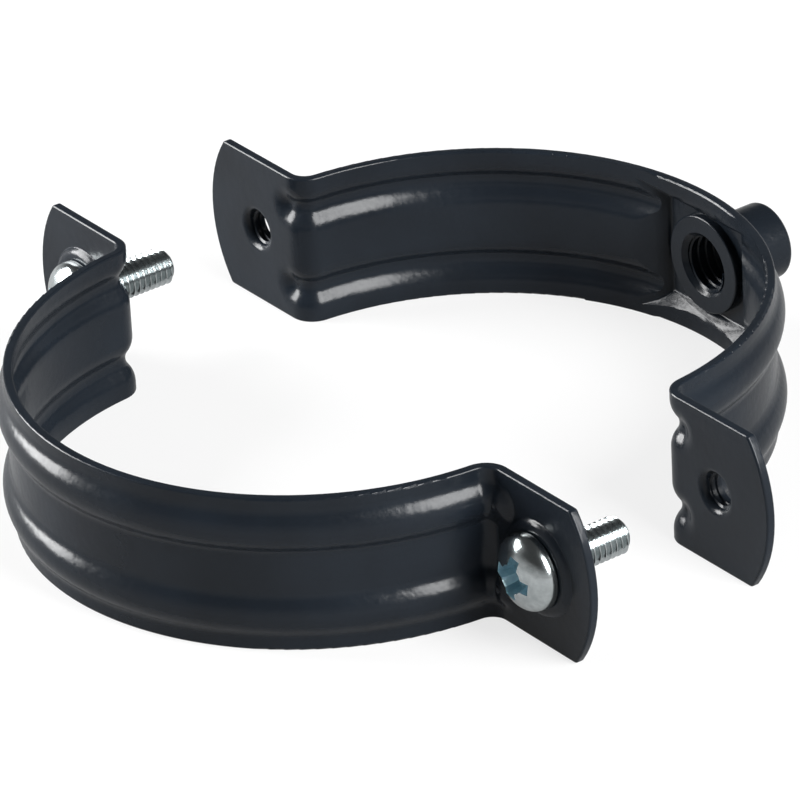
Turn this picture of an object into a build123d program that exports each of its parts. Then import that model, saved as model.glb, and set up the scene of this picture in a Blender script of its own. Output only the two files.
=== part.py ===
from build123d import *
import os
from math import atan, atan2, cos, degrees, radians, sin, sqrt, tan

# Two-piece downpipe clip: two pressed strip halves with ears, a flanged threaded boss that takes
# the wall bolt, and two pan-head clamping screws.
# The pipe's axis is Z and the boss's axis is Y. They cross at the origin, half way up the strip.
# The wall is on the +Y side. The front half stands open, OPENING short of where it closes.

# Driving sizes, in millimetres

# Pipe and strip
PIPE_D = 87.0
PIPE_PLAY = 0.5
STRIP_WIDTH = 25.0
STRIP_T = 1.5
STRIP_EDGE_R = 0.35

# Stiffening beads, pressed outwards along the strip
BEAD_Z = 6.9
BEAD_WIDTH = 8.0
BEAD_HEIGHT = 1.35

# Ears
EAR_GAP = 1.0
EAR_BEND_R = 2.5
EAR_REACH = 20.1
EAR_CROWN = 4.2
EAR_CORNER_R = 0.8
SCREW_OFFSET = 12.3
OPENING = 30.0

# Clamping screws, M6 x 16, pan head with a cross recess
SCREW_D = 6.0
SCREW_PITCH = 1.0
SCREW_LENGTH = 16.0
SCREW_POINT = 0.6
HEAD_D = 12.0
HEAD_H = 4.6
HEAD_RIM = 0.7
RECESS_D = 7.0
RECESS_DEPTH = 3.0
RECESS_WING = 1.9
RECESS_CORE_D = 4.2
RECESS_TAPER = 10.0

# Raised screw seats in the front ears
SCREW_ROOM = 0.25
HEAD_ROOM = 0.1
SEAT_RISE = 0.9
SEAT_FLAT_D = 12.4
SEAT_FOOT_D = 15.6

# Tapped collars drawn through the rear ears
THREAD_ROOM = 0.08
COLLAR_HEIGHT = 2.0
COLLAR_WALL = 1.25
COLLAR_ENTRY_R = 1.3
COLLAR_FILLET = 0.8
COLLAR_LIP_R = 0.3

# Wall boss, M10, with a flange inside the rear half
BOSS_THREAD_D = 10.0
BOSS_PITCH = 1.5
BOSS_D = 12.2
BOSS_LENGTH = 11.8
BOSS_ENTRY = 0.75
BOSS_END_R = 0.9
BOSS_ROOM = 0.05
FLANGE_D = 16.0
FLANGE_T = 1.3
FLANGE_EDGE_R = 0.3

# Flat pad pressed outwards in the rear half, which seats the boss's flange
PAD_DEPTH = 1.6
PAD_MARGIN = 0.9
PAD_SIDE_SLOPE = 60.0
PAD_SHOULDER = 0.1
PAD_SHOULDER_R = 3.0
PAD_SHOULDER_SLOPE = 30.0
PAD_END_MARGIN = 0.1
PAD_END_SLOPE = 50.0
PAD_FLOOR_R = 0.5
PANEL_LIP = 0.6

# Worked-out sizes


def pitch_diameter(thread_d, pitch):
    """A thread's mean diameter, at which its plain stand-in is drawn."""
    return thread_d - 0.6495 * pitch


inner_r = PIPE_D / 2 + PIPE_PLAY
middle_r = inner_r + STRIP_T / 2
half_t = STRIP_T / 2
half_width = STRIP_WIDTH / 2

# Each side of a bead's crest, its middle line is two equal arcs
bead_half = BEAD_WIDTH / 2
bead_angle = 2 * degrees(atan(BEAD_HEIGHT / bead_half))
bead_r = bead_half / (2 * sin(radians(bead_angle)))

# The ear bend is tangent to the band and to the ear
ear_face_y = EAR_GAP / 2
ear_middle_y = ear_face_y + half_t
ear_back_y = ear_face_y + STRIP_T
bend_r = EAR_BEND_R + half_t
bend_y = ear_middle_y + bend_r
bend_x = sqrt((middle_r + bend_r) ** 2 - bend_y**2)
bend_angle = degrees(atan2(bend_y, bend_x))
band_arc = 180 - 2 * bend_angle
bead_end_x = bend_x + bead_half
ear_corner = inner_r + EAR_REACH
ear_tip = ear_corner + EAR_CROWN

screw_x = inner_r + SCREW_OFFSET
screw_r = pitch_diameter(SCREW_D, SCREW_PITCH) / 2
screw_hole_r = SCREW_D / 2 + SCREW_ROOM
head_r = HEAD_D / 2
seat_y = ear_back_y + SEAT_RISE
under_head_y = seat_y + HEAD_ROOM

# The raised seat's step is two equal arcs as well
seat_flat_r = SEAT_FLAT_D / 2
seat_foot_r = SEAT_FOOT_D / 2
step_angle = 2 * degrees(atan(SEAT_RISE / (seat_foot_r - seat_flat_r)))
step_r = (seat_foot_r - seat_flat_r) / (2 * sin(radians(step_angle)))

tapped_r = screw_r + THREAD_ROOM
collar_r = tapped_r + COLLAR_WALL
collar_foot_r = collar_r + COLLAR_FILLET
collar_top_y = ear_back_y + COLLAR_HEIGHT

boss_r = BOSS_D / 2
boss_bore_r = pitch_diameter(BOSS_THREAD_D, BOSS_PITCH) / 2
flange_r = FLANGE_D / 2
pad_floor_y = inner_r + PAD_DEPTH
flange_face_y = pad_floor_y - FLANGE_T
boss_end_y = pad_floor_y + BOSS_LENGTH

# Each side of the pad drops steeply from its floor, then runs out over a shoulder into the band.
# The shoulders are chords of the band, so the pad's base lies where the band runs parallel to them.
pad_half_width = flange_r + PAD_MARGIN
pad_half_height = flange_r + PAD_END_MARGIN
shoulder_y = inner_r - PAD_SHOULDER
shoulder_x = pad_half_width + (pad_floor_y - shoulder_y) / tan(radians(PAD_SIDE_SLOPE))
shoulder_lean = radians(PAD_SIDE_SLOPE + PAD_SHOULDER_SLOPE) / 2
shoulder_turn = radians(PAD_SIDE_SLOPE - PAD_SHOULDER_SLOPE) / 2
pad_base_y = inner_r * cos(radians(PAD_SHOULDER_SLOPE))
panel_half_width = inner_r * sin(radians(PAD_SHOULDER_SLOPE))
panel_half_height = half_width - PANEL_LIP
panel_core_r = pad_base_y - STRIP_T

# Planes across the strip: local X points away from the pipe, local Y is up
band_end = Plane(
    origin=(0, 0, 0),
    x_dir=(cos(radians(bend_angle)), sin(radians(bend_angle)), 0),
    z_dir=(sin(radians(bend_angle)), -cos(radians(bend_angle)), 0),
)
ear_root = Plane(origin=(bend_x, ear_middle_y, 0), x_dir=(0, 1, 0), z_dir=(1, 0, 0))
bend_axis = Axis((bend_x, bend_y, 0), (0, 0, 1))

# Plane across an ear: local X is the distance from the screw, local Y runs away from the closing face
across_ear = Plane(origin=(screw_x, 0, 0), x_dir=(1, 0, 0), z_dir=(0, 0, 1))
screw_axis = Axis((screw_x, 0, 0), (0, 1, 0))

# The front half is pressed like the rear one, and faces it turned half round
front_place = Location((0, -OPENING, 0), (0, 0, 180))

# Strip section


def bead_face(middle, side, centre_z):
    """One face of a bead, as foot, crest and foot arcs half the strip's thickness from its middle line."""
    foot_r = bead_r - side * half_t
    crest_r = bead_r + side * half_t
    CenterArc((middle + bead_r, centre_z - bead_half), foot_r, 180, -bead_angle)
    CenterArc((middle + BEAD_HEIGHT - bead_r, centre_z), crest_r, -bead_angle, 2 * bead_angle)
    CenterArc((middle + bead_r, centre_z + bead_half), foot_r, 180 + bead_angle, -bead_angle)


def strip_face(side, end_z):
    """One whole face of the band, beads and all, up to end_z either way."""
    x = middle_r + side * half_t
    feet = [centre_z + reach for centre_z in (-BEAD_Z, BEAD_Z) for reach in (-bead_half, bead_half)]
    levels = [-end_z, *feet, end_z]
    for low, high in zip(levels[::2], levels[1::2]):
        Line((x, low), (x, high))
    for centre_z in (-BEAD_Z, BEAD_Z):
        bead_face(middle_r, side, centre_z)


def strip_section():
    """The strip's whole section about its middle line, with rounded edges."""
    with BuildLine() as section:
        for side in (1, -1):
            strip_face(side, half_width)
        for z in (-half_width, half_width):
            Line((middle_r - half_t, z), (middle_r + half_t, z))
    face = make_face(section.edges())
    fillet([v for v in face.vertices() if abs(v.Y) > half_width - 0.001], STRIP_EDGE_R)


def band_core(side, core_r, end_z):
    """Everything from core_r out to one face of the band, as a section for turning round the pipe."""
    x = middle_r + side * half_t
    with BuildLine() as section:
        strip_face(side, end_z)
        Polyline((x, -end_z), (core_r, -end_z), (core_r, end_z), (x, end_z))
    make_face(section.edges())


# Half shell that both halves start from: band, ear bends, bead ends and plain ears

with BuildPart() as band:
    with BuildSketch(band_end):
        strip_section()
    revolve(axis=Axis.Z, revolution_arc=band_arc)

with BuildPart() as ear_bend:
    with BuildSketch(band_end):
        strip_section()
    revolve(axis=bend_axis, revolution_arc=90 - bend_angle)

# A bead ends in the ear as half a dome, its section turned about its own middle
with BuildPart() as bead_ends:
    for centre_z in (-BEAD_Z, BEAD_Z):
        with BuildSketch(ear_root):
            with BuildLine():
                for face in (half_t, -half_t):
                    CenterArc((BEAD_HEIGHT - bead_r, centre_z), bead_r + face, 0, bead_angle)
                    CenterArc((bead_r, centre_z + bead_half), bead_r - face, 180, bead_angle)
                Line((BEAD_HEIGHT - half_t, centre_z), (BEAD_HEIGHT + half_t, centre_z))
                Line((-half_t, centre_z + bead_half), (half_t, centre_z + bead_half))
            make_face()
        revolve(axis=Axis((bend_x, 0, centre_z), (0, 1, 0)), revolution_arc=180)

with BuildPart() as ear_plate:
    with BuildSketch(Plane.XZ.offset(-ear_face_y)) as ear_outline:
        with BuildLine():
            Line((bend_x, -half_width), (bend_x, half_width))
            Line((bend_x, half_width), (ear_corner, half_width))
            ThreePointArc((ear_corner, half_width), (ear_tip, 0), (ear_corner, -half_width))
            Line((ear_corner, -half_width), (bend_x, -half_width))
        make_face()
        fillet(ear_outline.vertices().filter_by(lambda v: v.X > bead_end_x), EAR_CORNER_R)
    extrude(amount=-STRIP_T)
    rims = ear_plate.faces().filter_by(Axis.Y).edges()
    fillet(rims.filter_by(lambda e: e.center().X > bead_end_x), STRIP_EDGE_R)
    with BuildSketch(Plane.XZ.offset(-ear_face_y)):
        with Locations((bend_x, BEAD_Z), (bend_x, -BEAD_Z)):
            Circle(bead_half)
    extrude(amount=-STRIP_T, mode=Mode.SUBTRACT)

with BuildPart() as half_shell:
    add(band.part)
    for piece in (ear_bend, bead_ends, ear_plate):
        add(piece.part)
        add(mirror(piece.part, about=Plane.YZ, mode=Mode.PRIVATE))

# Tapped collar of a rear ear, with a rounded way in on the closing face

with BuildPart() as tapped_collar:
    with BuildSketch(across_ear):
        with BuildLine():
            entry = (tapped_r + COLLAR_ENTRY_R, ear_face_y)
            throat = (tapped_r, ear_face_y + COLLAR_ENTRY_R)
            bore_end = (tapped_r, collar_top_y)
            lip = (collar_r - COLLAR_LIP_R, collar_top_y)
            shoulder = (collar_r, collar_top_y - COLLAR_LIP_R)
            wall_foot = (collar_r, ear_back_y + COLLAR_FILLET)
            back = (collar_foot_r, ear_back_y)
            front = (collar_foot_r, ear_face_y)
            RadiusArc(entry, throat, COLLAR_ENTRY_R)
            Line(throat, bore_end)
            Line(bore_end, lip)
            RadiusArc(lip, shoulder, COLLAR_LIP_R)
            Line(shoulder, wall_foot)
            RadiusArc(wall_foot, back, -COLLAR_FILLET)
            Line(back, front)
            Line(front, entry)
        make_face()
    revolve(axis=screw_axis)

# Raised seat of a front ear, where the sheet steps out under the screw's head

with BuildPart() as raised_seat:
    with BuildSketch(across_ear):
        with BuildLine():
            for offset in (half_t, -half_t):
                top_y = ear_middle_y + SEAT_RISE + offset
                CenterArc((seat_foot_r, ear_middle_y + step_r), step_r - offset, 270, -step_angle)
                CenterArc((seat_flat_r, top_y - step_r - offset), step_r + offset, 90, -step_angle)
                Line((screw_hole_r, top_y), (seat_flat_r, top_y))
            Line((screw_hole_r, seat_y - STRIP_T), (screw_hole_r, seat_y))
            Line((seat_foot_r, ear_face_y), (seat_foot_r, ear_back_y))
        make_face()
    revolve(axis=screw_axis)

# Pad for the boss: the block that its outside adds and the pocket that its inside leaves


def pad_form(offset, floor_r, shoulder_r):
    """The pad's inside as a solid block from its base to its floor, or that block grown by an offset."""
    floor_y = pad_floor_y + offset
    floor_w = pad_half_width + offset * tan(radians(PAD_SIDE_SLOPE / 2))
    floor_h = pad_half_height + offset * tan(radians(PAD_END_SLOPE / 2))
    bend_w = shoulder_x + offset * sin(shoulder_lean) / cos(shoulder_turn)
    bend_level = shoulder_y + offset * cos(shoulder_lean) / cos(shoulder_turn)
    base_w = bend_w + (bend_level - pad_base_y) / tan(radians(PAD_SHOULDER_SLOPE))
    base_h = floor_h + (floor_y - pad_base_y) / tan(radians(PAD_END_SLOPE))
    top_y = floor_y + STRIP_T
    top_h = floor_h - STRIP_T / tan(radians(PAD_END_SLOPE))
    with BuildPart() as form:
        with BuildSketch(Plane.XY.offset(-half_width)) as plan:
            with BuildLine():
                right_side = [(base_w, pad_base_y), (bend_w, bend_level), (floor_w, floor_y)]
                left_side = [(-x, y) for x, y in reversed(right_side)]
                Polyline(*right_side, *left_side, close=True)
            make_face()
            fillet(plan.vertices().group_by(Axis.Y)[-1], floor_r)
            fillet(plan.vertices().filter_by(lambda v: abs(v.Y - bend_level) < 0.001), shoulder_r)
        extrude(amount=STRIP_WIDTH)
        with BuildSketch(Plane.YZ.offset(-base_w)):
            corners = (pad_base_y, -base_h), (top_y, -top_h), (top_y, top_h), (pad_base_y, base_h)
            Polygon(*corners, align=None)
        extrude(amount=2 * base_w, mode=Mode.INTERSECT)
        floor_ends = form.faces().sort_by(Axis.Y)[-1].edges().filter_by(Axis.X)
        fillet(floor_ends, floor_r)
    return form.part


pad_pocket = pad_form(0, PAD_FLOOR_R, PAD_SHOULDER_R + STRIP_T)
pad_block = pad_form(STRIP_T, PAD_FLOOR_R + STRIP_T, PAD_SHOULDER_R)

# Panel of the band that the pad takes up, between the strip's plain lips

with BuildPart() as pad_panel:
    with BuildSketch(band_end):
        band_core(1, panel_core_r, panel_half_height)
    revolve(axis=Axis.Z, revolution_arc=band_arc)
    add(pad_block)
    with BuildSketch(band_end):
        band_core(-1, panel_core_r - STRIP_T, half_width)
    revolve(axis=Axis.Z, revolution_arc=band_arc, mode=Mode.SUBTRACT)
    add(pad_pocket, mode=Mode.SUBTRACT)
    with BuildSketch(Plane.XZ):
        Rectangle(2 * panel_half_width, STRIP_WIDTH)
    extrude(amount=-boss_end_y, mode=Mode.INTERSECT)

# Rear half

with BuildPart() as rear_half:
    add(half_shell.part)
    with BuildSketch(Plane.XZ.offset(-ear_face_y)):
        with Locations((screw_x, 0), (-screw_x, 0)):
            Circle(collar_foot_r)
    extrude(amount=-STRIP_T, mode=Mode.SUBTRACT)
    add(tapped_collar.part)
    add(mirror(tapped_collar.part, about=Plane.YZ, mode=Mode.PRIVATE))
    with BuildSketch(Plane.XZ):
        Rectangle(2 * panel_half_width, 2 * panel_half_height)
    extrude(amount=-boss_end_y, mode=Mode.SUBTRACT)
    add(pad_panel.part)
    with BuildSketch(Plane.XZ):
        Circle(boss_r + BOSS_ROOM)
    extrude(amount=-boss_end_y, mode=Mode.SUBTRACT)
rear_half.part.label = "rear_half"

# Front half

with BuildPart() as front_blank:
    add(half_shell.part)
    with BuildSketch(Plane.XZ.offset(-ear_face_y)):
        with Locations((screw_x, 0), (-screw_x, 0)):
            Circle(seat_foot_r)
    extrude(amount=-STRIP_T, mode=Mode.SUBTRACT)
    add(raised_seat.part)
    add(mirror(raised_seat.part, about=Plane.YZ, mode=Mode.PRIVATE))

with BuildPart() as front_half:
    add(front_blank.part.moved(front_place))
front_half.part.label = "front_half"

# Wall boss: flange inside the pad, threaded barrel out through it

with BuildPart() as wall_boss:
    with BuildSketch(Plane.XY):
        with BuildLine():
            bore_in = (boss_bore_r, flange_face_y + BOSS_ENTRY)
            face_in = (boss_bore_r + BOSS_ENTRY, flange_face_y)
            face_out = (flange_r - FLANGE_EDGE_R, flange_face_y)
            edge = (flange_r, flange_face_y + FLANGE_EDGE_R)
            end_edge = (boss_r, boss_end_y - BOSS_END_R)
            end_face = (boss_r - BOSS_END_R, boss_end_y)
            end_in = (boss_bore_r, boss_end_y)
            Polyline(end_in, bore_in, face_in, face_out)
            RadiusArc(face_out, edge, -FLANGE_EDGE_R)
            Polyline(edge, (flange_r, pad_floor_y), (boss_r, pad_floor_y), end_edge)
            RadiusArc(end_edge, end_face, -BOSS_END_R)
            Line(end_face, end_in)
        make_face()
    revolve(axis=Axis.Y)
wall_boss.part.label = "wall_boss"

# Clamping screws, heads to the front

with BuildPart() as clamp_screw:
    with BuildSketch(Plane.XY):
        with BuildLine():
            crown = (0, -HEAD_H)
            tip = (0, SCREW_LENGTH)
            EllipticalCenterArc((0, -HEAD_RIM), head_r, HEAD_H - HEAD_RIM, start_angle=270, arc_size=90)
            Polyline(
                (head_r, -HEAD_RIM),
                (head_r, 0),
                (screw_r, 0),
                (screw_r, SCREW_LENGTH - SCREW_POINT),
                (screw_r - SCREW_POINT, SCREW_LENGTH),
                tip,
                crown,
            )
        make_face()
    revolve(axis=Axis.Y)
    with BuildSketch(Plane(origin=(0, -HEAD_H, 0), x_dir=(1, 0, 0), z_dir=(0, 1, 0))):
        Rectangle(RECESS_D, RECESS_WING)
        Rectangle(RECESS_WING, RECESS_D)
        Circle(RECESS_CORE_D / 2)
    extrude(amount=RECESS_DEPTH, taper=RECESS_TAPER, mode=Mode.SUBTRACT)

with BuildPart() as right_screw:
    add(clamp_screw.part.moved(Location((screw_x, -OPENING - under_head_y, 0))))
right_screw.part.label = "right_screw"

with BuildPart() as left_screw:
    add(clamp_screw.part.moved(Location((-screw_x, -OPENING - under_head_y, 0))))
left_screw.part.label = "left_screw"

# Export

os.makedirs("parts", exist_ok=True)
for sub_part in (rear_half, front_half, wall_boss, right_screw, left_screw):
    export_step(sub_part.part, f"parts/{sub_part.part.label}.step")
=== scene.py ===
"""Looks of the downpipe clip: powder-coated strip halves and boss, zinc screws, and all threads."""

from math import cos, pi, radians, sin, tan

import bmesh
import bpy
from mathutils import Matrix, Vector


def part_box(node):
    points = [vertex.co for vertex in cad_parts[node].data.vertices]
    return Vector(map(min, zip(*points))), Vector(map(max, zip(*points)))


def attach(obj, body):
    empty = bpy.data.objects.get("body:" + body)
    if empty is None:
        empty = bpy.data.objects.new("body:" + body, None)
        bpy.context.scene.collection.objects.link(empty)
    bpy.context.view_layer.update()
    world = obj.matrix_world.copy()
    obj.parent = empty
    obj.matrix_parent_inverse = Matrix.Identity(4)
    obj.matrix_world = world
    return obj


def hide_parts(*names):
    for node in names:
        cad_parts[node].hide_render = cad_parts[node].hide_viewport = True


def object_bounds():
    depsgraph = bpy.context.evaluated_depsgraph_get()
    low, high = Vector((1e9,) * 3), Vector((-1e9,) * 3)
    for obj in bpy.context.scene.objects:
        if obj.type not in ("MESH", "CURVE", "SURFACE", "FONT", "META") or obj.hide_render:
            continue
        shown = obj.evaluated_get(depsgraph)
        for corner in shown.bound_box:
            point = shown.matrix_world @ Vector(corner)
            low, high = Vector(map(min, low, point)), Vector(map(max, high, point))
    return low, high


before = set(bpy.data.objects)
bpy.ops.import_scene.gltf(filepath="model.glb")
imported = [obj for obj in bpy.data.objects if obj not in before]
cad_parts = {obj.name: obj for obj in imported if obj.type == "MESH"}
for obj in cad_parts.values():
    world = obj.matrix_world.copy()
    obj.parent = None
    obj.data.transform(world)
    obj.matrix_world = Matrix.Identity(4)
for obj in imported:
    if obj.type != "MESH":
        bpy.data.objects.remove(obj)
cad_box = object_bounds()

MM = 0.001

# Clamping screws, in millimetres: M6, pan head with a cross recess
SCREW_D = 5.9
SCREW_PITCH = 1.0
SCREW_LENGTH = 16.0
SCREW_POINT = 0.75
HEAD_H = 4.3
HEAD_RIM = 0.7
HEAD_EDGE = 0.25
RECESS_D = 7.7
RECESS_DEPTH = 3.0
RECESS_WING = 2.2
RECESS_CORE_D = 5.0
RECESS_DRAFT = 6.0
RIB_D = 6.2
RIB_WIDTH = 0.6
RIB_DEPTH = 1.6
RECESS_TURN = -10.0

# Where the screw's thread starts, in millimetres: it meets the collars' threads when the clip is shut
THREAD_START = 0.3367

# Tapped holes, in millimetres
BOSS_D = 10.0
BOSS_PITCH = 1.5
COLLAR_WALL_R = 2.755
BOSS_WALL_R = 4.513
COLLAR_THREAD = (1.1, 3.95)
BOSS_THREAD = (45.0, 57.3)
RIDGE_ROOT = 0.2
THREAD_PLAY = 0.04

# Thread shape as shares of the pitch: shallow in the holes, deep with a narrow root on the screw
FLANK_SLOPE = tan(radians(30))
THREAD_DEPTH = 0.5413
SCREW_THREAD_DEPTH = 0.6495
CREST_FLAT = 0.125
ROOT_FLAT = 0.25

# Working allowances, in millimetres, and steps round a turned piece
MERGE_REACH = 0.001
SEAM_REACH = 0.0005
CUT_REACH = 0.00001
CUTTER_RISE = 1.0
ENVELOPE_ROOM = 0.5
LEAD_TURNS = 2
TURN_STEPS = 72
HEAD_STEPS = 96
CORE_STEPS = 48

# A face looks straight down when its normal's Z is below this
STRAIGHT_DOWN = -0.9

# Shading breaks at edges sharper than this, in degrees
TRUE_EDGE = 32.0

# Powder coat: pattern sizes and heights in millimetres, and the share of the noise that they use
PEEL_SIZE = 1.3
PEEL_HEIGHT = 0.04
GRAIN_SIZE = 0.45
GRAIN_HEIGHT = 0.01
DRIFT_SIZE = 14.0
COAT_SPREAD = (0.3, 0.7)
COAT_TONES = ("#12161b", "#161b21")
COAT_ROUGHNESS = (0.19, 0.27)
COAT_IOR = 1.5
COAT_SPECULAR = 0.2

# Zinc plate: the same, with a dull and a bright tone for each of its two finishes
HAZE_SIZE = 1.3
MARK_SIZE = 0.5
MARK_HEIGHT = 0.008
ZINC_SPREAD = (0.35, 0.65)
CLEAR_TONES = ("#adb4b5", "#c2c8c9")
BLUE_TONES = ("#bcd5de", "#cfe3ea")
HEAD_ROUGHNESS = 0.15
THREAD_ROUGHNESS = 0.2
RECESS_ROUGHNESS = 0.3
HAZE_DULLING = 0.05
# Share of the zinc's colour left in the thread's roots by the painted shade
PAINTED_ROOT_LEVEL = 0.1

# Camera, fitted to the photograph's 800 pixel frame
CAMERA_AT = Vector((771.35, -568.344, 515.054)) * MM
CAMERA_AZIMUTH = 54.309
CAMERA_ELEVATION = 28.57
CAMERA_ROLL = -3.08
CAMERA_LENS = 325.3
CAMERA_SENSOR = 36.0
CAMERA_CLIP = (0.01, 100)

# Floor and studio walls: sizes in metres, light as shares of white, heights as the sine of an elevation
FLOOR_SIZE = 12.0
FLOOR_TONE = "#cdcdcd"
FLOOR_ROUGHNESS = 0.9
FLOOR_WHITE = 0.75
FLOOR_IN_METAL = 0.45
WALL_HEIGHTS = (0.1, 0.45)
WALL_LIGHT = (0.5, 0.06)


# Colours, places and nodes


def middle_x(node):
    """The middle of a CAD node across the clip, in metres."""
    low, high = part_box(node)
    return (low.x + high.x) / 2


def linear(hex_colour):
    """An sRGB hex colour as linear red, green, blue and alpha."""
    shares = [int(hex_colour[i:i + 2], 16) / 255 for i in (1, 3, 5)]
    return [s / 12.92 if s <= 0.04045 else ((s + 0.055) / 1.055) ** 2.4 for s in shares] + [1.0]


def per_metre(size_mm):
    """The texture scale at which a pattern's cells are this many millimetres wide."""
    return 1 / (size_mm * MM)


def add_node(tree, kind, inputs=None, **settings):
    """A node with its settings, and its inputs given a value or linked from another node's output."""
    node = tree.nodes.new(kind)
    for name, value in settings.items():
        setattr(node, name, value)
    for name, value in (inputs or {}).items():
        if isinstance(value, bpy.types.NodeSocket):
            tree.links.new(value, node.inputs[name])
        else:
            node.inputs[name].default_value = value
    return node


def new_material(name):
    """An empty material, its node tree and the shader that fills it."""
    material = bpy.data.materials.new(name)
    material.use_nodes = True
    tree = material.node_tree
    tree.nodes.clear()
    shader = add_node(tree, "ShaderNodeBsdfPrincipled")
    add_node(tree, "ShaderNodeOutputMaterial", {"Surface": shader.outputs["BSDF"]})
    return material, tree, shader


def anthracite_powder_coat():
    """Polyester powder coat baked on steel: near-black blue grey, satin, with a soft orange peel."""
    material, tree, shader = new_material("anthracite_powder_coat")
    place = add_node(tree, "ShaderNodeTexCoord").outputs["Object"]
    # Waves left by the melted powder, which make the edges of highlights wander
    peel = add_node(
        tree, "ShaderNodeTexNoise", {"Vector": place, "Scale": per_metre(PEEL_SIZE), "Detail": 1.0}
    )
    # Finest grain of the powder, drawn a little coarser than it is so that it shows
    grain = add_node(
        tree, "ShaderNodeTexNoise", {"Vector": place, "Scale": per_metre(GRAIN_SIZE), "Detail": 2.0}
    )
    # Slow changes in the coat's thickness, which shift its tone
    drift = add_node(
        tree, "ShaderNodeTexNoise", {"Vector": place, "Scale": per_metre(DRIFT_SIZE), "Detail": 2.0}
    )
    tone = add_node(tree, "ShaderNodeValToRGB", {"Fac": drift.outputs["Fac"]})
    for stop, position, hex_colour in zip(tone.color_ramp.elements, COAT_SPREAD, COAT_TONES):
        stop.position = position
        stop.color = linear(hex_colour)
    gloss = add_node(
        tree,
        "ShaderNodeMapRange",
        {
            "Value": grain.outputs["Fac"],
            "From Min": COAT_SPREAD[0],
            "From Max": COAT_SPREAD[1],
            "To Min": COAT_ROUGHNESS[0],
            "To Max": COAT_ROUGHNESS[1],
        },
    )
    fine = add_node(
        tree,
        "ShaderNodeBump",
        {"Height": grain.outputs["Fac"], "Strength": 1.0, "Distance": GRAIN_HEIGHT * MM},
    )
    waves = add_node(
        tree,
        "ShaderNodeBump",
        {
            "Height": peel.outputs["Fac"],
            "Strength": 1.0,
            "Distance": PEEL_HEIGHT * MM,
            "Normal": fine.outputs["Normal"],
        },
    )
    tree.links.new(tone.outputs["Color"], shader.inputs["Base Color"])
    tree.links.new(gloss.outputs["Result"], shader.inputs["Roughness"])
    tree.links.new(waves.outputs["Normal"], shader.inputs["Normal"])
    shader.inputs["IOR"].default_value = COAT_IOR
    shader.inputs["Specular IOR Level"].default_value = COAT_SPECULAR
    return material


def painted_groove_shade(tree, place, colour):
    """Painted shade: darkens a colour towards the roots of a screw's thread, between its flanks."""
    crest_r = SCREW_D / 2 * MM
    root_r = crest_r - SCREW_THREAD_DEPTH * SCREW_PITCH * MM
    spot = add_node(tree, "ShaderNodeSeparateXYZ", {"Vector": place})
    side = add_node(tree, "ShaderNodeMath", {0: spot.outputs["X"]}, operation="ABSOLUTE")
    reach = add_node(
        tree,
        "ShaderNodeMath",
        {0: side.outputs[0], 1: middle_x("right_screw")},
        operation="SUBTRACT",
    )
    across = add_node(tree, "ShaderNodeCombineXYZ", {"X": reach.outputs[0], "Z": spot.outputs["Z"]})
    radius = add_node(tree, "ShaderNodeVectorMath", {0: across.outputs["Vector"]}, operation="LENGTH")
    light = add_node(
        tree,
        "ShaderNodeMapRange",
        {
            "Value": radius.outputs["Value"],
            "From Min": root_r,
            "From Max": crest_r,
            "To Min": PAINTED_ROOT_LEVEL,
        },
    )
    shade = add_node(
        tree, "ShaderNodeVectorMath", {0: colour, "Scale": light.outputs["Result"]}, operation="SCALE"
    )
    return shade.outputs["Vector"]


def bright_zinc(name, tones, roughness, threaded=False):
    """Electroplated and passivated zinc: bright, with a fine haze in the plating."""
    material, tree, shader = new_material(name)
    place = add_node(tree, "ShaderNodeTexCoord").outputs["Object"]
    # Uneven plating, which clouds the shine in small patches
    haze = add_node(
        tree, "ShaderNodeTexNoise", {"Vector": place, "Scale": per_metre(HAZE_SIZE), "Detail": 3.0}
    )
    tone = add_node(tree, "ShaderNodeValToRGB", {"Fac": haze.outputs["Fac"]})
    for stop, position, hex_colour in zip(tone.color_ramp.elements, ZINC_SPREAD, tones):
        stop.position = position
        stop.color = linear(hex_colour)
    gloss = add_node(
        tree,
        "ShaderNodeMapRange",
        {
            "Value": haze.outputs["Fac"],
            "From Min": ZINC_SPREAD[0],
            "From Max": ZINC_SPREAD[1],
            "To Min": roughness + HAZE_DULLING,
            "To Max": roughness,
        },
    )
    # Marks of cold heading under the plating
    marks = add_node(
        tree, "ShaderNodeTexNoise", {"Vector": place, "Scale": per_metre(MARK_SIZE), "Detail": 2.0}
    )
    bump = add_node(
        tree,
        "ShaderNodeBump",
        {"Height": marks.outputs["Fac"], "Strength": 1.0, "Distance": MARK_HEIGHT * MM},
    )
    colour = tone.outputs["Color"]
    # Painted shade on the screw's thread: darker towards its roots, where shade falls between the flanks
    if threaded:
        colour = painted_groove_shade(tree, place, colour)
    tree.links.new(colour, shader.inputs["Base Color"])
    tree.links.new(gloss.outputs["Result"], shader.inputs["Roughness"])
    tree.links.new(bump.outputs["Normal"], shader.inputs["Normal"])
    shader.inputs["Metallic"].default_value = 1.0
    return material


# Modelling steps


def choose(piece):
    """Selects one piece alone and makes it the active one."""
    bpy.ops.object.select_all(action="DESELECT")
    bpy.context.view_layer.objects.active = piece
    piece.select_set(True)


def edit(piece):
    """Edit mode on one piece alone, with all of it selected."""
    choose(piece)
    bpy.ops.object.mode_set(mode="EDIT")
    bpy.ops.mesh.select_mode(type="VERT")
    bpy.ops.mesh.select_all(action="SELECT")


def done():
    """Back to object mode."""
    bpy.ops.object.mode_set(mode="OBJECT")


def name_new(name):
    """The primitive that was just added, under its own name."""
    piece = bpy.context.object
    piece.name = name
    piece.data.name = name
    return piece


def pick_underside(piece):
    """In edit mode, selects the faces that look straight down, and no others."""
    bpy.ops.mesh.select_mode(type="FACE")
    mesh = bmesh.from_edit_mesh(piece.data)
    for face in mesh.faces:
        face.select_set(face.normal.z < STRAIGHT_DOWN)
    mesh.select_flush_mode()
    bmesh.update_edit_mesh(piece.data)


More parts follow.
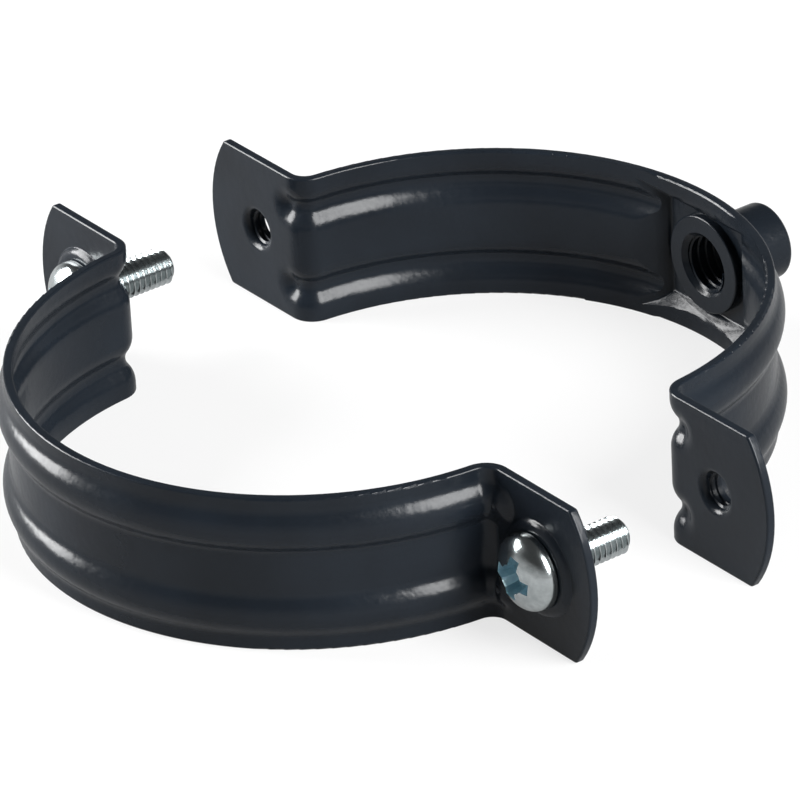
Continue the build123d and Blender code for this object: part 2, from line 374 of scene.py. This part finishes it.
def close_up(piece):
    """Merges the seams that turning a profile leaves, and points the faces outwards."""
    edit(piece)
    bpy.ops.mesh.remove_doubles(threshold=MERGE_REACH * MM)
    bpy.ops.mesh.normals_make_consistent(inside=False)
    done()


def draw_profile(name, points, closed=False):
    """A wire in the XZ plane, drawn from point to point by extruding one vertex."""
    places = [Vector((x, 0, z)) * MM for x, z in points]
    bpy.ops.object.select_all(action="DESELECT")
    bpy.ops.mesh.primitive_plane_add(size=MM)
    profile = name_new(name)
    edit(profile)
    bpy.ops.mesh.merge(type="CENTER")
    bpy.ops.transform.translate(value=places[0])
    for here, there in zip(places, places[1:]):
        bpy.ops.mesh.extrude_vertices_move(TRANSFORM_OT_translate={"value": there - here})
    if closed:
        mesh = bmesh.from_edit_mesh(profile.data)
        for vertex in mesh.verts:
            vertex.select_set(len(vertex.link_edges) == 1)
        bmesh.update_edit_mesh(profile.data)
        bpy.ops.mesh.edge_face_add()
    done()
    return profile


def apply_modifier(piece, kind, **settings):
    """Adds a modifier with its settings and applies it at once."""
    modifier = piece.modifiers.new(kind.lower(), kind)
    for name, value in settings.items():
        setattr(modifier, name, value)
    choose(piece)
    bpy.ops.object.modifier_apply(modifier=modifier.name)


def wind(piece, pitch, turns):
    """Winds a profile up round the Z axis as a right-hand thread."""
    apply_modifier(
        piece,
        "SCREW",
        axis="Z",
        angle=2 * pi,
        screw_offset=pitch * MM,
        iterations=turns,
        steps=TURN_STEPS,
        render_steps=TURN_STEPS,
        use_merge_vertices=True,
        merge_threshold=SEAM_REACH * MM,
    )


def cut_flat(piece, height, keep_above):
    """Cuts a piece level at a height and closes the cut."""
    edit(piece)
    bpy.ops.mesh.bisect(
        plane_co=(0, 0, height * MM),
        plane_no=(0, 0, 1),
        use_fill=True,
        clear_inner=keep_above,
        clear_outer=not keep_above,
        threshold=CUT_REACH * MM,
    )
    done()


def carve(piece, tool, operation):
    """Joins, cuts or keeps a piece by another one, which is used up."""
    apply_modifier(
        piece, "BOOLEAN", object=tool, operation=operation, solver="EXACT", material_mode="TRANSFER"
    )
    bpy.data.objects.remove(tool)


def settle(piece):
    """Puts a piece's place into its mesh, so that its object sits at the origin."""
    choose(piece)
    bpy.ops.object.transform_apply(location=True, rotation=True, scale=True)


def smooth(piece):
    """Smooth shading, broken at the piece's true edges."""
    choose(piece)
    bpy.ops.object.shade_smooth_by_angle(angle=radians(TRUE_EDGE))


def even_shading(node):
    """Lets a CAD node's shading run on from face to face, and break only at its true edges."""
    weld = node.modifiers.new("join_faces", "WELD")
    weld.merge_threshold = MERGE_REACH * MM
    split = node.modifiers.new("true_edges", "EDGE_SPLIT")
    split.split_angle = radians(TRUE_EDGE)
    split.use_edge_sharp = False
    node.modifiers.new("face_weight", "WEIGHTED_NORMAL")


# Clamping screw, modelled head up with its seat at the origin


def threaded_shank():
    """M6 thread below the head, cut level under it and chamfered at its end."""
    length = SCREW_LENGTH
    crest_r = SCREW_D / 2
    root_r = crest_r - SCREW_THREAD_DEPTH * SCREW_PITCH
    flank = SCREW_THREAD_DEPTH * SCREW_PITCH * FLANK_SLOPE
    levels = [0, CREST_FLAT * SCREW_PITCH]
    levels += [levels[1] + flank, levels[1] + flank + CREST_FLAT * SCREW_PITCH, SCREW_PITCH]
    radii = [root_r, root_r, crest_r, crest_r, root_r]
    bottom = -length - LEAD_TURNS * SCREW_PITCH + THREAD_START
    shank = draw_profile("screw_shank", [(r, bottom + z) for r, z in zip(radii, levels)])
    wind(shank, SCREW_PITCH, round(length / SCREW_PITCH) + 2 * LEAD_TURNS)
    close_up(shank)
    cut_flat(shank, HEAD_RIM / 2, keep_above=False)
    cut_flat(shank, -length, keep_above=True)
    close_up(shank)
    bpy.ops.object.select_all(action="DESELECT")
    bpy.ops.mesh.primitive_cylinder_add(
        vertices=TURN_STEPS,
        radius=(crest_r + ENVELOPE_ROOM) * MM,
        depth=(length + HEAD_RIM) * MM,
        location=(0, 0, (HEAD_RIM - length) / 2 * MM),
    )
    envelope = name_new("shank_envelope")
    settle(envelope)
    edit(envelope)
    pick_underside(envelope)
    bpy.ops.mesh.bevel(offset=(SCREW_POINT + ENVELOPE_ROOM) * MM, segments=1, affect="EDGES")
    done()
    carve(shank, envelope, "INTERSECT")
    return shank


def pan_head(head_r):
    """Half an ellipsoid on a short rim, with its lower edge eased."""
    bpy.ops.object.select_all(action="DESELECT")
    bpy.ops.mesh.primitive_uv_sphere_add(
        segments=HEAD_STEPS, ring_count=HEAD_STEPS // 2, radius=head_r * MM
    )
    head = name_new("screw_head")
    edit(head)
    bpy.ops.transform.resize(value=(1, 1, (HEAD_H - HEAD_RIM) / head_r))
    bpy.ops.mesh.bisect(plane_co=(0, 0, 0), plane_no=(0, 0, 1), use_fill=True, clear_inner=True)
    pick_underside(head)
    bpy.ops.mesh.extrude_region_move(TRANSFORM_OT_translate={"value": (0, 0, -HEAD_RIM * MM)})
    bpy.ops.mesh.bevel(offset=HEAD_EDGE * MM, segments=3, affect="EDGES")
    bpy.ops.mesh.select_all(action="SELECT")
    bpy.ops.transform.translate(value=(0, 0, HEAD_RIM * MM))
    done()
    close_up(head)
    return head


def recess_wing(length, width, depth, turn):
    """One tapered wing of the cross recess, turned about the screw's axis."""
    bpy.ops.object.select_all(action="DESELECT")
    bpy.ops.mesh.primitive_cube_add(
        size=MM,
        location=(0, 0, (HEAD_H + (CUTTER_RISE - depth) / 2) * MM),
        rotation=(0, 0, radians(turn)),
        scale=(length, width, depth + CUTTER_RISE),
    )
    wing = name_new("recess_wing")
    settle(wing)
    edit(wing)
    pick_underside(wing)
    narrow = 1 - 2 * depth * tan(radians(RECESS_DRAFT)) / width
    bpy.ops.transform.resize(
        value=(narrow, narrow, 1), center_override=(0, 0, (HEAD_H - depth) * MM)
    )
    done()
    return wing


def cut_recess(head, blue):
    """Cross recess with a round core and the four thin ribs between its wings."""
    cutters = [recess_wing(RECESS_D, RECESS_WING, RECESS_DEPTH, turn) for turn in (0, 90)]
    cutters += [recess_wing(RIB_D, RIB_WIDTH, RIB_DEPTH, turn) for turn in (45, 135)]
    bpy.ops.object.select_all(action="DESELECT")
    bpy.ops.mesh.primitive_cone_add(
        vertices=CORE_STEPS,
        radius1=RECESS_CORE_D / 3 * MM,
        radius2=RECESS_CORE_D / 2 * MM,
        depth=(RECESS_DEPTH + CUTTER_RISE) * MM,
        location=(0, 0, (HEAD_H + (CUTTER_RISE - RECESS_DEPTH) / 2) * MM),
    )
    core = name_new("recess_core")
    settle(core)
    for cutter in [*cutters, core]:
        cutter.data.materials.append(blue)
        carve(head, cutter, "DIFFERENCE")


def clamping_screw(zinc, thread_zinc_painted_shade, blue):
    """One whole screw, head up, from the sizes that the frame gives."""
    low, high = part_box("right_screw")
    head = pan_head((high.x - low.x) / 2 / MM)
    head.data.materials.append(zinc)
    cut_recess(head, blue)
    shank = threaded_shank()
    shank.data.materials.append(thread_zinc_painted_shade)
    carve(head, shank, "UNION")
    edit(head)
    bpy.ops.mesh.normals_make_consistent(inside=False)
    done()
    smooth(head)
    return head


def place_screw(model, node, body):
    """A copy of the screw with its own mesh, in its node's place with its head to the front."""
    low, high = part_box(node)
    screw = model.copy()
    screw.data = model.data.copy()
    screw.name = screw.data.name = node + "_threaded"
    bpy.context.scene.collection.objects.link(screw)
    seat = Vector((middle_x(node), high.y - SCREW_LENGTH * MM, (low.z + high.z) / 2))
    tip_over = Matrix.Rotation(radians(90), 4, "X")
    turn = Matrix.Rotation(radians(RECESS_TURN), 4, "Z")
    screw.matrix_world = Matrix.Translation(seat) @ tip_over @ turn
    settle(screw)
    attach(screw, body)
    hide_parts(node)


# Thread ridges of the tapped holes


def tapped_thread(name, wall_r, thread_d, pitch, span, side_x, coat):
    """Helical ridge standing in from a tapped hole's wall, along +Y from span's first level."""
    crest_r = thread_d / 2 - THREAD_DEPTH * pitch + THREAD_PLAY
    half_crest = ROOT_FLAT * pitch / 2 - THREAD_PLAY
    half_root = half_crest + (wall_r + RIDGE_ROOT - crest_r) * FLANK_SLOPE
    start, end = span
    turns = int((end - start) / pitch)
    points = [
        (wall_r + RIDGE_ROOT, -half_root),
        (crest_r, -half_crest),
        (crest_r, half_crest),
        (wall_r + RIDGE_ROOT, half_root),
    ]
    ridge = draw_profile(name, points, closed=True)
    wind(ridge, pitch, turns)
    edit(ridge)
    bpy.ops.mesh.remove_doubles(threshold=MERGE_REACH * MM)
    bpy.ops.mesh.fill_holes(sides=0)
    bpy.ops.mesh.normals_make_consistent(inside=False)
    done()
    ridge.rotation_euler = (radians(90), 0, 0)
    ridge.location = Vector((side_x, end - half_root, 0)) * MM
    settle(ridge)
    ridge.data.materials.append(coat)
    smooth(ridge)
    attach(ridge, "rear")


# Stage: floor, lights, world and camera


def pale_floor():
    """Wide pale floor at the strip's lower edge."""
    bpy.ops.object.select_all(action="DESELECT")
    bpy.ops.mesh.primitive_plane_add(size=FLOOR_SIZE, location=(0, 0, cad_box[0].z))
    floor = name_new("floor")
    material, tree, shader = new_material("pale_floor")
    shader.inputs["Base Color"].default_value = linear(FLOOR_TONE)
    shader.inputs["Roughness"].default_value = FLOOR_ROUGHNESS
    shader.inputs["Specular IOR Level"].default_value = 0.0
    rays = add_node(tree, "ShaderNodeLightPath")
    seen = add_node(
        tree,
        "ShaderNodeMath",
        {0: rays.outputs["Is Camera Ray"], 1: rays.outputs["Is Glossy Ray"]},
        operation="MAXIMUM",
    )
    seen = add_node(
        tree,
        "ShaderNodeMath",
        {0: seen.outputs[0], 1: rays.outputs["Is Transmission Ray"]},
        operation="MAXIMUM",
    )
    share = add_node(tree, "ShaderNodeMath", {0: seen.outputs[0], 1: FLOOR_WHITE}, operation="MULTIPLY")
    # White to the camera, and greyer where the coat and the zinc mirror it, as in the photograph
    level = add_node(
        tree,
        "ShaderNodeMapRange",
        {"Value": rays.outputs["Is Camera Ray"], "To Min": FLOOR_IN_METAL, "To Max": 1.0},
    )
    white = add_node(tree, "ShaderNodeEmission", {"Strength": level.outputs["Result"]})
    mix = add_node(
        tree,
        "ShaderNodeMixShader",
        {0: share.outputs[0], 1: shader.outputs["BSDF"], 2: white.outputs["Emission"]},
    )
    output = next(n for n in tree.nodes if n.bl_idname == "ShaderNodeOutputMaterial")
    tree.links.new(mix.outputs["Shader"], output.inputs["Surface"])
    floor.data.materials.append(material)


def way_out(azimuth, elevation):
    """The direction from the clip to something that looks at it, from two angles in degrees."""
    a, e = radians(azimuth), radians(elevation)
    return Vector((sin(a) * cos(e), -cos(a) * cos(e), sin(e)))


def softbox(name, azimuth, elevation, distance, size, watts):
    """A softbox that looks at the clip from a direction round it and a distance in metres."""
    back = way_out(azimuth, elevation)
    lamp = bpy.data.lights.new(name, "AREA")
    lamp.shape = "RECTANGLE"
    lamp.size, lamp.size_y = size
    lamp.energy = watts
    box = bpy.data.objects.new(name, lamp)
    box.location = back * distance
    box.rotation_mode = "QUATERNION"
    box.rotation_quaternion = (-back).to_track_quat("-Z", "Y")
    box.visible_camera = False
    bpy.context.scene.collection.objects.link(box)


def studio_world():
    """Studio walls, pale low down and dim overhead."""
    world = bpy.data.worlds.new("studio")
    bpy.context.scene.world = world
    world.use_nodes = True
    tree = world.node_tree
    tree.nodes.clear()
    way = add_node(tree, "ShaderNodeTexCoord").outputs["Generated"]
    height = add_node(tree, "ShaderNodeSeparateXYZ", {"Vector": way}).outputs["Z"]
    level = add_node(
        tree,
        "ShaderNodeMapRange",
        {
            "Value": height,
            "From Min": WALL_HEIGHTS[0],
            "From Max": WALL_HEIGHTS[1],
            "To Min": WALL_LIGHT[0],
            "To Max": WALL_LIGHT[1],
        },
    )
    walls = add_node(
        tree,
        "ShaderNodeBackground",
        {"Color": linear("#ffffff"), "Strength": level.outputs["Result"]},
    )
    add_node(tree, "ShaderNodeOutputWorld", {"Surface": walls.outputs["Background"]})


def photo_camera():
    """Camera at the photograph's viewing angle, from which the clip fills the same frame."""
    a, r = radians(CAMERA_AZIMUTH), radians(CAMERA_ROLL)
    back = way_out(CAMERA_AZIMUTH, CAMERA_ELEVATION)
    right = Vector((cos(a), sin(a), 0))
    up = back.cross(right)
    columns = [cos(r) * right + sin(r) * up, cos(r) * up - sin(r) * right, back]
    lens = bpy.data.cameras.new("photo_camera")
    lens.sensor_width = CAMERA_SENSOR
    lens.lens = CAMERA_LENS
    lens.clip_start, lens.clip_end = CAMERA_CLIP
    camera = bpy.data.objects.new("photo_camera", lens)
    camera.matrix_world = Matrix.Translation(CAMERA_AT) @ Matrix(columns).transposed().to_4x4()
    bpy.context.scene.collection.objects.link(camera)
    bpy.context.scene.camera = camera


# The clip

coat = anthracite_powder_coat()
zinc = bright_zinc("bright_zinc", CLEAR_TONES, HEAD_ROUGHNESS)
# The screw thread's zinc, with painted shade in its roots
thread_zinc_painted_shade = bright_zinc("bright_zinc_thread_painted_shade", CLEAR_TONES, THREAD_ROUGHNESS, threaded=True)
blue = bright_zinc("blue_passivated_zinc", BLUE_TONES, RECESS_ROUGHNESS)

for name in ("rear_half", "front_half", "wall_boss"):
    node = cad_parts[name]
    node.data.materials.clear()
    node.data.materials.append(coat)
    even_shading(node)

screw = clamping_screw(zinc, thread_zinc_painted_shade, blue)
place_screw(screw, "right_screw", "screw_right")
place_screw(screw, "left_screw", "screw_left")
bpy.data.objects.remove(screw)

screw_x = middle_x("right_screw") / MM
for side, x in (("right", screw_x), ("left", -screw_x)):
    tapped_thread(
        f"collar_thread_{side}", COLLAR_WALL_R, SCREW_D, SCREW_PITCH, COLLAR_THREAD, x, coat
    )
tapped_thread("boss_thread", BOSS_WALL_R, BOSS_D, BOSS_PITCH, BOSS_THREAD, 0, coat)

pale_floor()
studio_world()
softbox("right_softbox", azimuth=102, elevation=33, distance=0.65, size=(0.36, 0.44), watts=11.0)
softbox("left_softbox", azimuth=-53, elevation=21, distance=0.45, size=(0.25, 0.3), watts=5.6)
photo_camera()

bpy.context.scene.view_settings.view_transform = "Standard"
